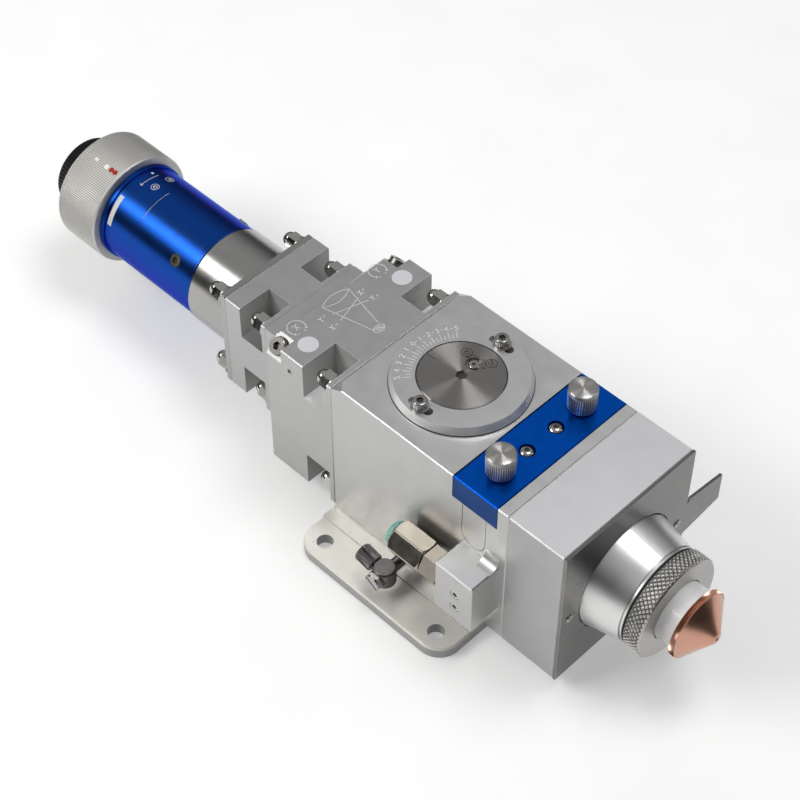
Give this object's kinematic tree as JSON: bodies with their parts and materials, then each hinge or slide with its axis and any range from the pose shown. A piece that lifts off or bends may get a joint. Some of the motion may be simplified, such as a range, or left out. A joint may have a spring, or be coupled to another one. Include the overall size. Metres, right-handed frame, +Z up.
{
  "type": "laser cutting head",
  "caption": "Square laser cutting head on a mounting plate, with a focus dial, a window drawer, a copper nozzle, a blue collimator barrel and side fittings for gas and water.",
  "frame": {"origin": "centre of the mounting plate's four holes, on the plate's underside", "axes": "+X along the beam towards the nozzle, +Y across the body, +Z up from the plate to the focus dial"},
  "size_m": [0.3433, 0.1124, 0.0869],
  "materials": {
    "plate": "fine bead-blasted, bright",
    "body": "fine bead-blasted, anodised silver",
    "front": "satin",
    "steel": "turned",
    "nickel": "nickel, bright",
    "dark_steel": "gunmetal",
    "blue": "blue anodised, satin",
    "silver_tube": "turned, bright",
    "dial": "turned, radial sheen",
    "copper": "polished copper",
    "ceramic": "white, smooth",
    "black": "moulded, satin",
    "white": "moulded",
    "teal": "moulded",
    "seal": "matt",
    "glass": "polished, coated"
  },
  "bodies": {
    "head": {"mounting_plate": "plate", "plate_screws": "steel", "main_body": "body", "nozzle_block": "body", "block_screws": "steel", "front_plate": "front", "face_screws": "steel", "sensor_cone": "silver_tube", "ceramic_seal": "seal", "ceramic_body": "ceramic", "scale_screws": "steel", "scale_washers": "steel", "adjuster_block": "body", "sight_plugs": "white", "return_plungers": "steel", "rear_block": "body", "collimator_tube": "silver_tube", "collimator_barrel": "blue", "barrel_set_screws": "steel", "fibre_receiver": "silver_tube", "flange_studs": "steel", "flange_washers": "steel", "flange_nuts": "dark_steel", "gas_block": "body", "gas_block_screws": "steel", "gas_fitting": "nickel"},
    "cap": {"dust_cap": "black"},
    "fibre_ring": {"fibre_lock_ring": "silver_tube"},
    "dial": {"focus_dial": "dial", "dial_lock_screw": "steel", "focus_pin": "steel"},
    "carriage": {"lens_carriage": "body", "focusing_lens": "glass", "focus_lens_ring": "steel"},
    "scale": {"scale_ring": "body"},
    "drawer": {"drawer_cover": "blue", "drawer_tray": "body", "cover_screws": "steel", "protective_window": "glass", "window_ring": "steel", "window_seals": "seal"},
    "thumb_left": {"thumb_screw_left": "steel"},
    "thumb_right": {"thumb_screw_right": "steel"},
    "centring_left": {"centring_screw_left": "dark_steel"},
    "centring_right": {"centring_screw_right": "dark_steel"},
    "slide": {"cross_slide": "steel"},
    "cell": {"collimator_cell": "body", "collimating_lens": "glass", "collimator_lens_ring": "steel"},
    "lock_ring": {"nozzle_lock_ring": "steel"},
    "nozzle": {"copper_nozzle": "copper"},
    "nut": {"gas_nut": "nickel", "gas_seal": "teal"},
    "elbow": {"elbow_body": "dark_steel", "elbow_plug": "dark_steel"},
    "leg_nut": {"elbow_nut": "dark_steel"}
  },
  "joints": [
    {"name": "cap_pull", "type": "slide", "parent": "head", "child": "cap", "axis": [-1, 0, 0], "range_m": [0, 0.1]},
    {"name": "fibre_ring_turn", "type": "hinge", "parent": "head", "child": "fibre_ring", "pos_m": [-0.2, 0, 0.0395], "axis": [1, 0, 0], "range_deg": [-32, 51]},
    {"name": "focus_turn", "type": "hinge", "parent": "head", "child": "dial", "pos_m": [-0.0061, 0, 0.078], "axis": [0, 0, 1], "range_deg": [-45, 45]},
    {"name": "focus_slide", "type": "slide", "parent": "head", "child": "carriage", "axis": [1, 0, 0], "range_m": [-0.005, 0.005]},
    {"name": "scale_turn", "type": "hinge", "parent": "head", "child": "scale", "pos_m": [-0.0061, 0, 0.078], "axis": [0, 0, 1], "range_deg": [-9, 9]},
    {"name": "drawer_pull", "type": "slide", "parent": "head", "child": "drawer", "axis": [0, 0, 1], "range_m": [0, 0.06]},
    {"name": "thumb_left_turn", "type": "hinge", "parent": "drawer", "child": "thumb_left", "pos_m": [0.03285, -0.0213, 0.08], "axis": [0, 0, 1], "continuous": true},
    {"name": "thumb_right_turn", "type": "hinge", "parent": "drawer", "child": "thumb_right", "pos_m": [0.03285, 0.0213, 0.08], "axis": [0, 0, 1], "continuous": true},
    {"name": "centring_left_turn", "type": "hinge", "parent": "head", "child": "centring_left", "pos_m": [-0.06975, 0, 0.0395], "axis": [0, -0.7071, 0.7071], "range_deg": [-360, 360]},
    {"name": "centring_right_turn", "type": "hinge", "parent": "head", "child": "centring_right", "pos_m": [-0.06975, 0, 0.0395], "axis": [0, 0.7071, 0.7071], "range_deg": [-360, 360]},
    {"name": "cross_move", "type": "slide", "parent": "head", "child": "slide", "axis": [0, 0.7071, 0.7071], "range_m": [-0.0005, 0.0005]},
    {"name": "cell_move", "type": "slide", "parent": "slide", "child": "cell", "axis": [0, -0.7071, 0.7071], "range_m": [-0.0005, 0.0005]},
    {"name": "lock_ring_turn", "type": "hinge", "parent": "head", "child": "lock_ring", "pos_m": [0.0956, 0, 0.0395], "axis": [1, 0, 0], "continuous": true},
    {"name": "nozzle_pull", "type": "slide", "parent": "head", "child": "nozzle", "axis": [1, 0, 0], "range_m": [0, 0.03]},
    {"name": "gas_nut_turn", "type": "hinge", "parent": "head", "child": "nut", "pos_m": [0.011, -0.0416, 0.0327], "axis": [1, 0, 0], "continuous": true},
    {"name": "elbow_swivel", "type": "hinge", "parent": "head", "child": "elbow", "pos_m": [0.0024, -0.0482, 0.0149], "axis": [0, 1, 0], "range_deg": [0, 45]},
    {"name": "elbow_nut_turn", "type": "hinge", "parent": "elbow", "child": "leg_nut", "pos_m": [0.0024, -0.0482, 0.0149], "axis": [-0.9744, 0, 0.225], "continuous": true}
  ],
  "couplings": [
    {"joint": "focus_slide", "follows": "focus_turn", "m_per_rad": -0.006366},
    {"joint": "centring_right_turn", "follows": "cross_move", "rad_per_m": 12566},
    {"joint": "centring_left_turn", "follows": "cell_move", "rad_per_m": 12566}
  ]
}
